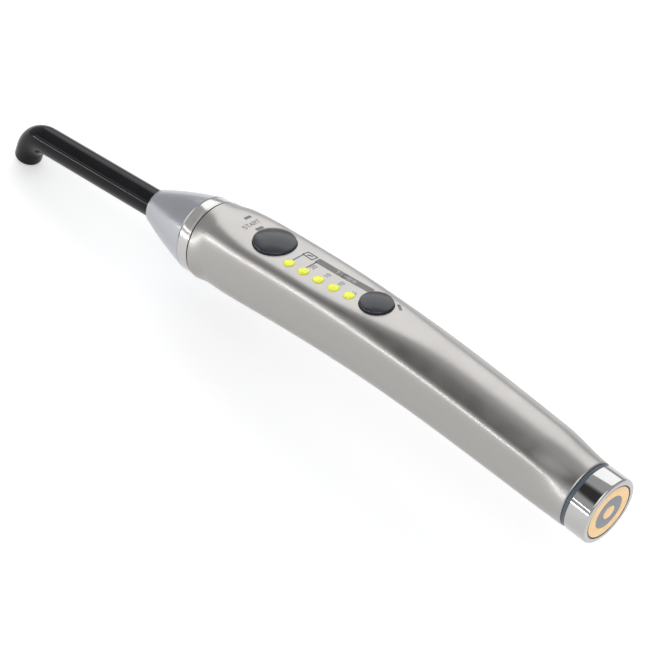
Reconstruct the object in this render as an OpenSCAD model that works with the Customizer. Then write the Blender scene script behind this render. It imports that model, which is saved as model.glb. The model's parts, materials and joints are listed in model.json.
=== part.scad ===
// Cordless dental curing light: a bowed steel handpiece with a swivelling, pull-off
// light guide at its nose and a screw-in battery with charging contacts at its rear.
// Frame: origin at the middle of the charging face, +X forward along the battery axis,
// +Z up towards the keys. The nose has its own axis, lower and tilted down.

/* [Housing] */
// Length of the steel housing along the battery axis
housing_l = 158.5; // [154:0.5:162]
// Fall of the nose centre below the battery axis
nose_drop = 8.35; // [7.8:0.05:9]
// Downward tilt of the nose axis
nose_tilt = 7.6; // [7:0.1:8.2]
// Upward bow of the housing between its ends
bow_h = 1.85; // [1.5:0.05:2.2]
// Radius of the housing at the nose
nose_r = 13.8; // [13.7:0.05:14]
// Radius of the housing, gasket and cap at the rear
rear_r = 11.3; // [11.2:0.05:11.5]
// Thickness of the housing wall
wall = 1; // [0.8:0.05:1.05]

/* [Housing section, as shares of the local radius] */
// Height of the flat key panel
panel_share = 0.888; // [0.87:0.002:0.9]
// Height of the crown behind the keys
crown_share = 1.089; // [1.06:0.002:1.1]
// Half width between the flat sides
side_share = 0.922; // [0.91:0.002:0.95]
// Distance of the shoulder facet beside the key panel
front_shoulder_share = 1.143; // [1.12:0.002:1.16]
// Distance of the shoulder facet behind the keys
rear_shoulder_share = 1.1; // [1.08:0.002:1.12]
// Distance of the lower corner facet
chine_share = 1.007; // [0.98:0.002:1.02]
// Depth of the underside
belly_share = 0.986; // [0.97:0.002:1]
// Sharpness of the rounding between the facets
edge_power = 14.5; // [10:0.5:18]
// The same at the nose, where the edges start soft
nose_edge_power = 5.3; // [4:0.1:8]

/* [Rear end] */
// Length of the chrome end cap
cap_l = 7.5; // [7:0.1:8]
// Width of the gasket between cap and housing
gasket_w = 1.6; // [1.4:0.05:1.8]
// Outer radius of the outer charging contact
outer_contact_r = 9; // [8.8:0.05:9]
// Outer radius of the grey insulator
insulator_r = 5.7; // [5.4:0.05:6]
// Radius of the centre charging contact
centre_contact_r = 2.5; // [2.2:0.05:2.8]

/* [Battery] */
// Radius of the battery cell
cell_r = 8.5; // [8.3:0.05:8.5]
// Length of the battery cell
cell_l = 65; // [60:0.5:65]

/* [Nose and light guide] */
// Width of the polished steel ring
ring_w = 4.7; // [4.5:0.1:5]
// Length of the silver guide cone
cone_l = 23.4; // [22:0.1:25]
// Radius of the cone at its front
cone_tip_r = 6.45; // [6.2:0.05:6.8]
// Radius of the light guide
guide_r = 5; // [4.8:0.05:5.1]
// Straight length of the guide in front of the cone
guide_l = 57.8; // [50:0.1:62]
// Radius of the guide's bend at its centre line
bend_r = 11.2; // [10.5:0.1:14]
// Angle of the guide's bend
bend_angle = 68.3; // [45:0.1:80]
// Straight length of the guide past its bend
guide_tip_l = 4.2; // [3:0.1:8]

/* [Keys and indicators] */
// Radius of the start key
start_r = 7.2; // [6.8:0.05:7.4]
// Height of the start key's dome
start_dome = 1.25; // [1:0.05:1.9]
// Radius of the time key
time_r = 5.55; // [5.2:0.05:5.8]
// Height of the time key's dome
time_dome = 0.8; // [0.6:0.05:1.4]
// Gap round a key
key_gap = 0.2; // [0.15:0.05:0.25]
// Number of time indicators
indicator_count = 5; // [5]
// Distance between two indicators
indicator_pitch = 6.08; // [5.9:0.02:6.2]
// Radius of an indicator lens
indicator_r = 1.85; // [1.7:0.05:1.95]

/* [Hidden] */

$fn = 64;
fit = 0.05;              // running fit between a shaft and its bore
slit = 0.05;             // gap between two faces that meet
steel = [0.72, 0.71, 0.69];
gold = [0.86, 0.7, 0.45];
slate = [0.22, 0.24, 0.27];
board_green = [0.1, 0.35, 0.22];

// ---- housing shape ----
rear_x = cap_l + gasket_w;
bow_power = tan(nose_tilt) * housing_l / nose_drop;
panel_shoulder_turn = 48;    // the shoulder's normal, from straight up, beside the keys
crown_shoulder_turn = 34;    // the same behind the keys
side_turn = 1.2;             // the flat sides look a little down
round_nose_share = 0.043;    // share of the length over which the round nose turns flat
panel_fall_share = 0.17;     // over what share the key panel sinks to its full depth
soft_edge_share = 0.16;      // over what share the edges sharpen
round_rear_share = 0.113;    // the same at the rear
crown_start = 0.3;           // where the key panel starts to turn into the crown
crown_share_l = 0.35;        // over what share of the length it does
bulge = 0.19;                // how much fuller the middle is than a straight taper
section_steps = 48;
station_steps = 32;

function ease(x) = let (c = min(max(x, 0), 1)) c * c * (3 - 2 * c);
function mix(a, b, s) = a + (b - a) * s;
function sum(list) = [for (v = list) 1] * list;

// u runs from 0 at the gasket to 1 at the nose
function centre_x(u) = rear_x + housing_l * u;
function centre_z(u) = -nose_drop * pow(u, bow_power) + 16 * bow_h * pow(u * (1 - u), 2);
function slope(u) = atan((-nose_drop * bow_power * pow(u, bow_power - 1)
    + 32 * bow_h * u * (1 - u) * (1 - 2 * u)) / housing_l);
function base_r(u) = mix(rear_r, nose_r, u) + bulge * 4 * u * (1 - u);
function crown(u) = ease((1 - u - crown_start) / crown_share_l);
function squareness(u) = ease((1 - u) / round_nose_share) * ease(u / round_rear_share);

function facet_turns(u) = let (s = mix(panel_shoulder_turn, crown_shoulder_turn, crown(u)))
    [90, 90 - s, 90 + s, -side_turn, 180 + side_turn, -90, -135, -45];
function facet_shares(u) = let (
        panel = mix(1, panel_share, ease((1 - u) / panel_fall_share)),
        top = mix(panel, crown_share, crown(u)),
        shoulder = mix(front_shoulder_share, rear_shoulder_share, crown(u)))
    [top, shoulder, shoulder, side_share, side_share, belly_share, chine_share, chine_share];
function facet_reach(u, a) = let (t = facet_turns(u), d = facet_shares(u),
        power = mix(nose_edge_power, edge_power, ease((1 - u) / soft_edge_share)))
    pow(sum([for (i = [0:len(t) - 1]) pow(max(0, cos(a - t[i])) / d[i], power)]),
        -1 / power);
function section_r(u, a) = base_r(u) * mix(1, facet_reach(u, a), squareness(u));
function skin_point(u, a, inset) = let (r = section_r(u, a) - inset, t = slope(u))
    [centre_x(u) - r * sin(a) * sin(t), r * cos(a), centre_z(u) + r * sin(a) * cos(t)];

// ---- places on the housing, as shares of its length ----
start_u = 0.8325;
time_u = 0.555;
board_u = 0.694;
first_indicator_u = 0.763;
function indicator_u(i) = first_indicator_u - i * indicator_pitch / housing_l;
function indicator_y(i) = 4.65 - 0.2 * i - 0.05 * i * i;
function top_h(u) = section_r(u, 90);
function side_top_h(u, y) = let (a = acos(y / top_h(u))) section_r(u, a) * sin(a);

module at_station(u)
    translate([centre_x(u), 0, centre_z(u)]) rotate([0, -slope(u), 0]) children();
module nose_frame() at_station(1) children();
module panel_frame() at_station(board_u) children();

// ---- turned shapes along X ----
module turned(profile) rotate([90, 0, 90]) rotate_extrude() polygon(profile);
module disc(x0, x1, r) translate([x0, 0, 0]) rotate([0, 90, 0]) cylinder(h = x1 - x0, r = r);
module tube(x0, x1, r, bore) turned([[bore, x0], [r, x0], [r, x1], [bore, x1]]);
function arc(cx, cy, r, a0, a1, n) =
    [for (i = [0:n]) [cx + r * cos(mix(a0, a1, i / n)), cy + r * sin(mix(a0, a1, i / n))]];

// ---- housing ----
function station(i) = (1 - cos(180 * i / station_steps)) / 2;
function skin_ring(i, inset) = [for (j = [0:section_steps - 1])
    skin_point(station(i), 360 * j / section_steps, inset)];
function band(a, b, n) = [for (j = [0:n - 1]) each let (k = (j + 1) % n)
    [[a + j, b + j, b + k], [a + j, b + k, a + k]]];

module housing_shell() {
    n = section_steps;
    rings = station_steps + 1;
    outer = [for (i = [0:station_steps]) each skin_ring(i, 0)];
    inner = [for (i = [0:station_steps]) each skin_ring(i, wall)];
    faces = concat(
        [for (i = [0:station_steps - 1]) each band(i * n, (i + 1) * n, n)],
        [for (i = [0:station_steps - 1]) each band((rings + i + 1) * n, (rings + i) * n, n)],
        band(rings * n, 0, n),
        band((rings - 1) * n, (2 * rings - 1) * n, n));
    polyhedron(concat(outer, inner), faces, convexity = 4);
}

module key_hole(r) translate([0, 0, 8]) cylinder(h = 10, r = r);

module housing() color(steel) difference() {
    housing_shell();
    at_station(start_u) key_hole(start_r + key_gap);
    at_station(time_u) key_hole(time_r + key_gap);
    for (i = [0:indicator_count - 1])
        at_station(indicator_u(i)) translate([0, indicator_y(i), 0])
            key_hole(indicator_r + fit);
}

// ---- nose ----
ring_x0 = 0.25;
ring_x1 = ring_x0 + ring_w;
ring_rear_r = nose_r - 0.25;
ring_front_r = nose_r - 0.35;
magnet_r = 12.3;
magnet_bore = 11;
magnet_l = 2.4;
socket_r = 10.95;
socket_bore = 8.05;
window_r = 7.6;
seat_x = -2;

module nose_gasket() color(slate) nose_frame() tube(0, ring_x0, nose_r - 0.5, socket_r + fit);

module nose_ring() color([0.8, 0.79, 0.77]) nose_frame() turned([
    [socket_r + fit, ring_x0], [ring_rear_r, ring_x0], [ring_rear_r, ring_x0 + 0.6],
    [ring_front_r, ring_x1 - 0.2], [ring_front_r - 0.2, ring_x1],
    [magnet_r + fit, ring_x1], [magnet_r + fit, ring_x1 - magnet_l - 0.1],
    [socket_r + fit, ring_x1 - magnet_l - 0.1]]);

module retaining_magnet() color([0.35, 0.35, 0.37]) nose_frame()
    tube(ring_x1 - magnet_l - 0.05, ring_x1 - 0.05, magnet_r, magnet_bore);

module nose_socket() color([0.78, 0.78, 0.8]) nose_frame() turned([
    [6, -12], [10.6, -12], [10.6, -1.6], [12.3, -1.6], [12.3, -0.1], [socket_r, -0.1],
    [socket_r, ring_x1 - 0.3], [socket_bore, ring_x1 - 0.3], [socket_bore, seat_x],
    [window_r + fit, seat_x], [window_r + fit, seat_x - 1.4], [6.8, seat_x - 1.4],
    [6.8, -9], [6, -9]]);

module protective_window() color([0.75, 0.85, 0.9, 0.5]) nose_frame()
    disc(seat_x - 1.35, seat_x - 0.15, window_r);

module light_collector() color([0.9, 0.9, 0.92]) nose_frame()
    turned([[3.4, -8.95], [6.7, -8.95], [6.7, -3.45], [5.8, -3.45]]);

module led_emitter() color([0.95, 0.9, 0.55]) nose_frame() {
    translate([-11.9, -2.5, -2.5]) cube([1.6, 5, 5]);
    turned(concat([[0, -10.3]], arc(0, -10.3, 2.1, 0, 90, 12)));
}

module led_board() color([0.85, 0.86, 0.84]) nose_frame() difference() {
    disc(-13.3, -12.05, 10);
    for (a = [45:180:225]) rotate([a, 0, 0]) translate([0, 8.2, 0]) disc(-14, -11, 0.9);
}

module heat_sink() color([0.62, 0.63, 0.66]) nose_frame() {
    disc(-17, -13.35, 10);
    intersection() {
        disc(-48, -17, 9.6);
        translate([-48, -8, -9.6]) cube([31, 16, 8.6]);
    }
}

// ---- light guide, which turns about and pulls off along the nose axis ----
cone_x0 = ring_x1 + 0.2;
cone_x1 = cone_x0 + cone_l;
cone_rear_r = ring_front_r - 0.05;
spigot_r = socket_bore - fit;
spigot_x0 = seat_x + 0.3;
cone_swell = 0.45;
armature_l = 2;
bend_x = cone_x1 + guide_l;
jacket_wall = 0.45;

module armature_ring() color([0.5, 0.5, 0.52]) nose_frame()
    tube(cone_x0 + 0.05, cone_x0 + 0.05 + armature_l, 12.2, 10.95);

function cone_profile(n) = [for (i = [0:n]) let (s = i / n)
    [mix(cone_rear_r, cone_tip_r, s) + cone_swell * 4 * s * (1 - s),
     mix(cone_x0 + 0.25, cone_x1 - 0.8, s)]];

module guide_cone() color([0.76, 0.78, 0.82]) nose_frame() turned(concat(
    [[guide_r + fit, spigot_x0], [spigot_r - 0.4, spigot_x0], [spigot_r, spigot_x0 + 0.4],
     [spigot_r, cone_x0], [10.9, cone_x0], [10.9, cone_x0 + armature_l + 0.1],
     [12.25, cone_x0 + armature_l + 0.1], [12.25, cone_x0], [cone_rear_r - 0.25, cone_x0]],
    cone_profile(12),
    arc(cone_tip_r - 0.8, cone_x1 - 0.8, 0.8, 0, 90, 8),
    [[guide_r + fit, cone_x1]]));

bend_lap = 1;            // degrees by which the bend runs into the straight lengths
bend_step = 0.02;        // how much thinner it is there, so that the surfaces stay distinct

// a round bar that runs straight from x0, round the bend and on to the tip
module guide_bar(x0, r, past) {
    disc(x0, bend_x, r);
    translate([bend_x, 0, -bend_r]) rotate([90, 0, 0])
        rotate([0, 0, 90 - bend_angle - bend_lap])
            rotate_extrude(angle = bend_angle + 2 * bend_lap)
                translate([bend_r, 0]) circle(r = r - bend_step);
    translate([bend_x, 0, -bend_r]) rotate([0, bend_angle, 0]) translate([0, 0, bend_r])
        disc(0, guide_tip_l + past, r);
}

module guide_core() color([0.55, 0.42, 0.3]) nose_frame()
    guide_bar(spigot_x0 + 0.2, guide_r - jacket_wall - slit, 0);
module guide_jacket() color([0.03, 0.03, 0.035]) nose_frame() difference() {
    guide_bar(spigot_x0 + 0.2, guide_r, 0);
    guide_bar(spigot_x0 - 1, guide_r - jacket_wall, 1);
}

// ---- keys, indicators and the board under the panel ----
board_top = 5.2;
board_t = 1.2;
board_x0 = -27.5;
board_x1 = 30;
board_w = 17;
membrane_h = 8;
membrane_t = 0.6;
stem_r = 1.6;
stem_h = 7.8;            // height of a key's stem end above its station's centre
key_flange_t = 0.5;
key_lip = 0.6;
key_proud = 0.5;    // height of a key's side above the housing
key_edge = 0.6;          // rounding between a key's side and its dome
inner_top = 0.4;         // gap between a key's flange and the housing's inside

// a domed rubber key on a flange, with the stem that pushes its switch
module key(u, r, dome) color(slate) at_station(u) {
    skin = top_h(u);
    flange_top = skin - wall - inner_top;
    side_top = skin + key_proud;
    dome_r = r - key_edge / 2;
    dome_h = side_top + key_edge * sin(60);
    sphere_r = (dome_r * dome_r + dome * dome) / (2 * dome);
    turned_up([
        [0, stem_h], [stem_r, stem_h], [stem_r, flange_top - key_flange_t],
        [r + key_lip, flange_top - key_flange_t], [r + key_lip, flange_top],
        [r, flange_top],
        each [for (a = [0:15:45]) [r - key_edge * (1 - cos(a)), side_top + key_edge * sin(a)]],
        each [for (i = [0:12]) let (a = mix(asin(dome_r / sphere_r), 0, i / 12))
            [sphere_r * sin(a), dome_h + dome - sphere_r * (1 - cos(a))]]]);
}
module turned_up(profile) rotate_extrude() polygon(profile);

module start_button() key(start_u, start_r, start_dome);
module time_button() key(time_u, time_r, time_dome);

// local x of a station in the board's frame
function panel_x(u) = (centre_x(u) - centre_x(board_u)) / cos(slope(board_u));

module seal_membrane() color([0.3, 0.31, 0.33]) panel_frame() difference() {
    translate([board_x0, -7, membrane_h]) cube([board_x1 - board_x0, 14, membrane_t]);
    for (u = [start_u, time_u])
        translate([panel_x(u), 0, membrane_h - 1]) cylinder(h = 3, r = stem_r + 0.6);
    for (i = [0:indicator_count - 1])
        translate([panel_x(indicator_u(i)), indicator_y(i), membrane_h - 1])
            cylinder(h = 3, r = 1.6);
}

module indicator_lens(i) color([0.85, 0.93, 0.25]) at_station(indicator_u(i))
    translate([0, indicator_y(i), 0]) {
        u = indicator_u(i);
        skin = side_top_h(u, indicator_y(i));
        shoulder = skin - wall - 0.15;
        turned_up([[0, 6.75], [1.3, 6.75], [1.3, shoulder - 0.4], [2.3, shoulder - 0.4],
            [2.3, shoulder], [indicator_r, shoulder],
            each [for (k = [0:8]) [indicator_r * cos(90 * k / 8),
                skin + 0.1 + 0.5 * sin(90 * k / 8)]]]);
    }
module indicator_lens_1() indicator_lens(0);
module indicator_lens_2() indicator_lens(1);
module indicator_lens_3() indicator_lens(2);
module indicator_lens_4() indicator_lens(3);
module indicator_lens_5() indicator_lens(4);

module indicator_led(i) color([0.95, 0.95, 0.85]) panel_frame()
    translate([panel_x(indicator_u(i)) - 1, indicator_y(i) - 0.8, board_top])
        cube([2, 1.6, 0.9]);
module indicator_led_1() indicator_led(0);
module indicator_led_2() indicator_led(1);
module indicator_led_3() indicator_led(2);
module indicator_led_4() indicator_led(3);
module indicator_led_5() indicator_led(4);

screw_places = [for (x = [-25.5, 27.5], y = [-6.6, 6.6]) [x, y]];
module control_board() color(board_green) panel_frame() difference() {
    translate([board_x0, -board_w / 2, board_top - board_t])
        cube([board_x1 - board_x0, board_w, board_t]);
    for (p = screw_places) translate([p[0], p[1], 0]) cylinder(h = 8, r = 0.85);
}

// a square tactile switch with a round actuator
module key_switch(u) panel_frame() translate([panel_x(u), 0, board_top]) {
    translate([-2.6, -2.6, 0]) cube([5.2, 5.2, 1]);
    cylinder(h = 1.35, r = 1.4);
}
module start_switch() color([0.15, 0.15, 0.16]) key_switch(start_u);
module time_switch() color([0.15, 0.15, 0.16]) key_switch(time_u);

module microcontroller() color([0.08, 0.08, 0.09]) panel_frame()
    translate([-4, -4, board_top - board_t - 1]) cube([8, 8, 1]);
module driver_coil() color([0.2, 0.19, 0.2]) panel_frame()
    translate([-15, 0, board_top - board_t - 2]) cylinder(h = 2, r = 4);
module sounder() color([0.12, 0.12, 0.12]) panel_frame()
    translate([14, 0, board_top - board_t - 1.8]) cylinder(h = 1.8, r = 5);

tray_h = 0.6;
tray_t = 1.2;
module board_tray() color([0.85, 0.85, 0.82]) panel_frame() difference() {
    union() {
        translate([board_x0, -9.5, tray_h]) cube([board_x1 - board_x0, 19, tray_t]);
        for (y = [-10.2, 9.2])
            translate([board_x0, y, tray_h]) cube([board_x1 - board_x0, 1, 3.6]);
        for (p = screw_places) translate([p[0], p[1], tray_h])
            cylinder(h = board_top - board_t - tray_h, r = 1.7);
    }
    for (p = screw_places) translate([p[0], p[1], 0]) cylinder(h = 8, r = 0.8);
}
module board_screws() color([0.7, 0.7, 0.72]) panel_frame() for (p = screw_places)
    translate([p[0], p[1], 0]) {
        translate([0, 0, tray_h]) cylinder(h = board_top - tray_h, r = 0.75);
        translate([0, 0, board_top]) cylinder(h = 0.8, r = 1.5);
    }

// ---- battery end of the housing ----
spigot_outer_r = 9.35;
spigot_l = 10;
spigot_bore = 7.6;
collar_r = rear_r - wall - slit;
collar_neck_r = 9.85;
sleeve_r = cell_r + 0.5;
cell_x0 = cap_l + spigot_l + 1.5;
cell_x1 = cell_x0 + cell_l;
block_x0 = cell_x1 + 3.2;

module thread_collar() color([0.78, 0.72, 0.5]) turned([
    [spigot_outer_r + fit, rear_x + 0.1], [collar_r - 0.05, rear_x + 0.1],
    [collar_r - 0.05, rear_x + 1.6], [collar_neck_r, rear_x + 1.6],
    [collar_neck_r, rear_x + spigot_l], [spigot_outer_r + fit, rear_x + spigot_l]]);

module contact_block() color([0.16, 0.16, 0.18]) difference() {
    disc(block_x0, block_x0 + 3, 9.2);
    disc(block_x0 - 1, block_x0 + 4, 1.45);
}
module battery_contact_pin() color(gold) {
    disc(cell_x1 + 2.35, block_x0 - 0.5, 0.9);
    disc(block_x0 - 0.5, block_x0 + 3.5, 1.4);
}
module ground_strip() color([0.8, 0.6, 0.35])
    translate([rear_x + spigot_l + 0.1, -2, -9.7]) cube([block_x0 - rear_x - 6, 4, 0.2]);

// ---- battery unit, which unscrews and pulls out to the rear ----
cap_edge = 0.75;
recess_r = outer_contact_r + 0.4;
recess_d = 3.2;

module cap_gasket() color(slate)
    tube(cap_l + slit, rear_x - slit, rear_r - 0.3, spigot_outer_r + fit);

o_ring_x = cap_l + spigot_l - 2.2;
o_ring_r = 0.5;
module cap_o_ring() color([0.1, 0.1, 0.1]) rotate([90, 0, 90]) rotate_extrude()
    translate([spigot_outer_r - o_ring_r, o_ring_x]) circle(r = o_ring_r, $fn = 24);

groove_w = 2 * o_ring_r + 0.1;
module end_cap() color([0.9, 0.9, 0.92]) turned(concat(
    [[recess_r + fit, 0]],
    arc(rear_r - cap_edge, cap_edge, cap_edge, -90, 0, 8),
    [[rear_r, cap_l], [spigot_outer_r, cap_l],
     [spigot_outer_r, o_ring_x - groove_w / 2],
     [spigot_outer_r - 2 * o_ring_r - slit, o_ring_x - groove_w / 2],
     [spigot_outer_r - 2 * o_ring_r - slit, o_ring_x + groove_w / 2],
     [spigot_outer_r, o_ring_x + groove_w / 2], [spigot_outer_r, cap_l + spigot_l],
     [spigot_bore, cap_l + spigot_l], [spigot_bore, cap_l - 1], [8.2, cap_l - 1],
     [8.2, recess_d], [recess_r + fit, recess_d]]));

contact_t = 0.8;
module contact_carrier() color([0.1, 0.1, 0.11]) difference() {
    disc(0.2, recess_d - 0.05, recess_r);
    disc(-1, 0.2 + contact_t, outer_contact_r + fit);
    disc(-1, recess_d + 1, 0.85);
}
module outer_contact() color(gold) tube(0.1, 0.2 + contact_t - slit, outer_contact_r,
    insulator_r + fit);
module contact_insulator() color([0.55, 0.56, 0.58]) tube(0.1, 0.2 + contact_t - slit,
    insulator_r, centre_contact_r + fit);
module centre_contact() color(gold) {
    disc(0, 0.2 + contact_t - slit, centre_contact_r);
    disc(0.2, 4.3, 0.8);
}
module protection_board() color(board_green) disc(4.35, 5.55, 8);

module battery_sleeve() color([0.12, 0.3, 0.5]) turned([
    [spigot_bore - fit - 0.6, cap_l + 2], [spigot_bore - fit, cap_l + 2],
    [spigot_bore - fit, cap_l + spigot_l + slit], [sleeve_r, cap_l + spigot_l + slit],
    [sleeve_r, cell_x1 + 1.2], [3.6, cell_x1 + 1.2], [3.6, cell_x1 + 0.3],
    [cell_r + fit, cell_x1 + 0.3], [cell_r + fit, cell_x0 - 0.4],
    [spigot_bore - fit - 0.6, cell_x0 - 0.4]]);
module battery_cell() color([0.7, 0.72, 0.75]) disc(cell_x0, cell_x1, cell_r);
module battery_terminal() color(gold) disc(cell_x1, cell_x1 + 1.9, 3);

housing();
nose_gasket();
nose_ring();
retaining_magnet();
nose_socket();
protective_window();
light_collector();
led_emitter();
led_board();
heat_sink();
armature_ring();
guide_cone();
guide_core();
guide_jacket();
start_button();
time_button();
seal_membrane();
indicator_lens_1();
indicator_lens_2();
indicator_lens_3();
indicator_lens_4();
indicator_lens_5();
indicator_led_1();
indicator_led_2();
indicator_led_3();
indicator_led_4();
indicator_led_5();
control_board();
start_switch();
time_switch();
microcontroller();
driver_coil();
sounder();
board_tray();
board_screws();
contact_block();
battery_contact_pin();
ground_strip();
thread_collar();
cap_gasket();
cap_o_ring();
end_cap();
contact_carrier();
outer_contact();
contact_insulator();
centre_contact();
protection_board();
battery_sleeve();
battery_cell();
battery_terminal();
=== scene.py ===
"""Looks of the cordless curing light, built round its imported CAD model.

All shapes are worked out in millimetres in the CAD frame and turned into metres by MM when a
mesh is made. The origin is the middle of the charging face, +X runs forward, +Z up to the keys.
"""

import json
import math

import bmesh
import bpy
import numpy as np
from mathutils import Matrix, Vector


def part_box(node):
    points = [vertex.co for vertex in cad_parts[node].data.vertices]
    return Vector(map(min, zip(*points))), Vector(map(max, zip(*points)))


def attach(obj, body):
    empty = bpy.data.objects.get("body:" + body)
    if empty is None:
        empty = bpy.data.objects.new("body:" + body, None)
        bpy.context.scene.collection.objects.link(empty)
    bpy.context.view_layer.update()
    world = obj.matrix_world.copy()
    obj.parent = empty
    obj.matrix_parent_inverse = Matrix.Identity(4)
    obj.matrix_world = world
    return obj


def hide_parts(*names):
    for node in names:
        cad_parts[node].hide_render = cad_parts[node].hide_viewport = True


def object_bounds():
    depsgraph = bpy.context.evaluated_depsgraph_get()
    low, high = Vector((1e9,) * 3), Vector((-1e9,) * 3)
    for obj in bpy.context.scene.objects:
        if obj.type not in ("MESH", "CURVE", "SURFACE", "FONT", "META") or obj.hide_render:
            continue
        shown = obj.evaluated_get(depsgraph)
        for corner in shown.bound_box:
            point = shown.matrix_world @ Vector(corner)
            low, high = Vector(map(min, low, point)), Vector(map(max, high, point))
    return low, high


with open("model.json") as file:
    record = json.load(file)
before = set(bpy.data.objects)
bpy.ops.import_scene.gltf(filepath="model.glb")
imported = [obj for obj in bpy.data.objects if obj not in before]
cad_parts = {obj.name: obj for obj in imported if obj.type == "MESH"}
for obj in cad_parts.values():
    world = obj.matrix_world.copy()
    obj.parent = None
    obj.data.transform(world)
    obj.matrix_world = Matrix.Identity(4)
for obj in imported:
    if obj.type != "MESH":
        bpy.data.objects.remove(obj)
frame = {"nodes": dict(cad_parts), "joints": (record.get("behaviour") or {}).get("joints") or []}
CAD_BOX = [list(corner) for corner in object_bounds()]
MM = 0.001
INDICATORS = 5

# ---------------------------------------------------------------- sizes read from the frame


def box_mm(node):
    low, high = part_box(node)
    return low / MM, high / MM


JOINTS = {j["name"]: j for j in frame["joints"]}
SWIVEL = JOINTS["guide_swivel"]
NOSE = Vector(SWIVEL["pos_m"]) / MM
NOSE_TILT = math.degrees(math.atan2(-SWIVEL["axis"][2], SWIVEL["axis"][0]))
REAR_X = box_mm("housing")[0].x
REAR_R = box_mm("end_cap")[1].y
SEAL_GAP = 0.05                          # air on either side of the cap's seal
CAP_L = box_mm("cap_gasket")[0].x - SEAL_GAP
GASKET_R = box_mm("cap_gasket")[1].y

# ---------------------------------------------------------------- the housing's skin
# The same rule as in the CAD source: a rounded polygon that turns into a circle at both ends.

LENGTH = NOSE.x - REAR_X
DROP = -NOSE.z
BOW = 1.85                               # rise of the centre line at half the length
NOSE_R = 13.8
BULGE = 0.19                             # extra radius at half the length
WALL = 1.0
FRONT_FACETS = (0.888, 1.143, 48.0)      # panel height, shoulder distance, shoulder turn
REAR_FACETS = (1.089, 1.1, 34.0)
SIDE_SHARE, SIDE_TURN = 0.922, 1.2
BELLY_SHARE, CHINE_SHARE = 0.986, 1.007
EDGE_POWER, NOSE_EDGE_POWER = 14.5, 5.3
POWER = math.tan(math.radians(NOSE_TILT)) * LENGTH / DROP
# Shares of the length over which one form turns into the next.
CROWN_FROM, CROWN_RUN = 0.7, 0.35        # the top's panel turns into a crown towards the rear
PANEL_FALL, SOFT_EDGE = 0.17, 0.16       # counted from the nose
ROUND_NOSE, ROUND_REAR = 0.043, 0.113    # the section turns into a circle at each end
SKIN_AROUND, SKIN_ALONG, INSIDE_STEP = 240, 300, 6
END_ROUND = 0.22                         # breaks the shell's two ends
ROUNDS = 40                              # of a search for a point on the skin


def ease(x):
    c = np.clip(x, 0.0, 1.0)
    return c * c * (3 - 2 * c)


def centre_x(u):
    return REAR_X + LENGTH * u


def centre_z(u):
    return -DROP * u ** POWER + 16 * BOW * (u * (1 - u)) ** 2


def slope(u):
    rise = -DROP * POWER * u ** (POWER - 1) + 32 * BOW * u * (1 - u) * (1 - 2 * u)
    return np.arctan(rise / LENGTH)


def section_r(u, turn):
    """Radius of the skin at share u of the length and at an angle in radians from +Y."""
    base = REAR_R + (NOSE_R - REAR_R) * u + BULGE * 4 * u * (1 - u)
    crown = ease((CROWN_FROM - u) / CROWN_RUN)
    top, shoulder, lean = (a + (b - a) * crown for a, b in zip(FRONT_FACETS, REAR_FACETS))
    top = top + (1 - FRONT_FACETS[0]) * (1 - ease((1 - u) / PANEL_FALL)) * (1 - crown)
    power = NOSE_EDGE_POWER + (EDGE_POWER - NOSE_EDGE_POWER) * ease((1 - u) / SOFT_EDGE)
    # every facet's direction in degrees and its distance as a share of the radius
    facets = [(90, top), (90 - lean, shoulder), (90 + lean, shoulder), (-SIDE_TURN, SIDE_SHARE),
              (180 + SIDE_TURN, SIDE_SHARE), (-90, BELLY_SHARE), (-135, CHINE_SHARE),
              (-45, CHINE_SHARE)]
    total = sum((np.maximum(np.cos(turn - np.radians(a)), 0) / d) ** power for a, d in facets)
    square = ease((1 - u) / ROUND_NOSE) * ease(u / ROUND_REAR)
    return base * (1 + square * (total ** (-1 / power) - 1))


def skin(u, turn, lift=0.0):
    """Points on the skin, lifted outwards by lift."""
    u, turn = np.broadcast_arrays(np.asarray(u, float), np.asarray(turn, float))
    r = section_r(u, turn) + lift
    lean = slope(u)
    up = r * np.sin(turn)
    return np.stack([centre_x(u) - up * np.sin(lean), r * np.cos(turn),
                     centre_z(u) + up * np.cos(lean)], -1)


def on_skin(x, y, lift=0.0):
    """The points of the skin's upper side that lie at x and y."""
    x, y = np.asarray(x, float), np.asarray(y, float)
    u, turn = (x - REAR_X) / LENGTH, np.full_like(x, math.pi / 2)
    for _ in range(ROUNDS):
        r = section_r(u, turn)
        turn = np.arccos(np.clip(y / r, -0.99, 0.99))
        u = (x + r * np.sin(turn) * np.sin(slope(u)) - REAR_X) / LENGTH
    return skin(u, turn, lift)


def station_frame(u):
    return (Matrix.Translation((centre_x(u), 0, float(centre_z(u))))
            @ Matrix.Rotation(-float(slope(u)), 4, "Y"))


NOSE_FRAME = Matrix.Translation(NOSE) @ Matrix.Rotation(math.radians(NOSE_TILT), 4, "Y")
REST = Matrix.Identity(4)

# ---------------------------------------------------------------- mesh helpers

WELD = 1e-7                              # metres; points closer than this become one
SHELL_SHARP, CAD_SHARP = 40, 30          # degrees beyond which an edge stays sharp


def make_object(name, points, faces, place=REST, sharp=35.0):
    mesh = bpy.data.meshes.new(name)
    mesh.from_pydata([tuple(p) for p in points], [], faces)
    mesh.transform(Matrix.Scale(MM, 4) @ place)
    cleaned = bmesh.new()
    cleaned.from_mesh(mesh)
    bmesh.ops.remove_doubles(cleaned, verts=cleaned.verts, dist=WELD)
    bmesh.ops.recalc_face_normals(cleaned, faces=cleaned.faces)
    cleaned.to_mesh(mesh)
    cleaned.free()
    mesh.shade_smooth()
    mesh.set_sharp_from_angle(angle=math.radians(sharp))
    obj = bpy.data.objects.new(name, mesh)
    bpy.context.scene.collection.objects.link(obj)
    return obj


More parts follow.
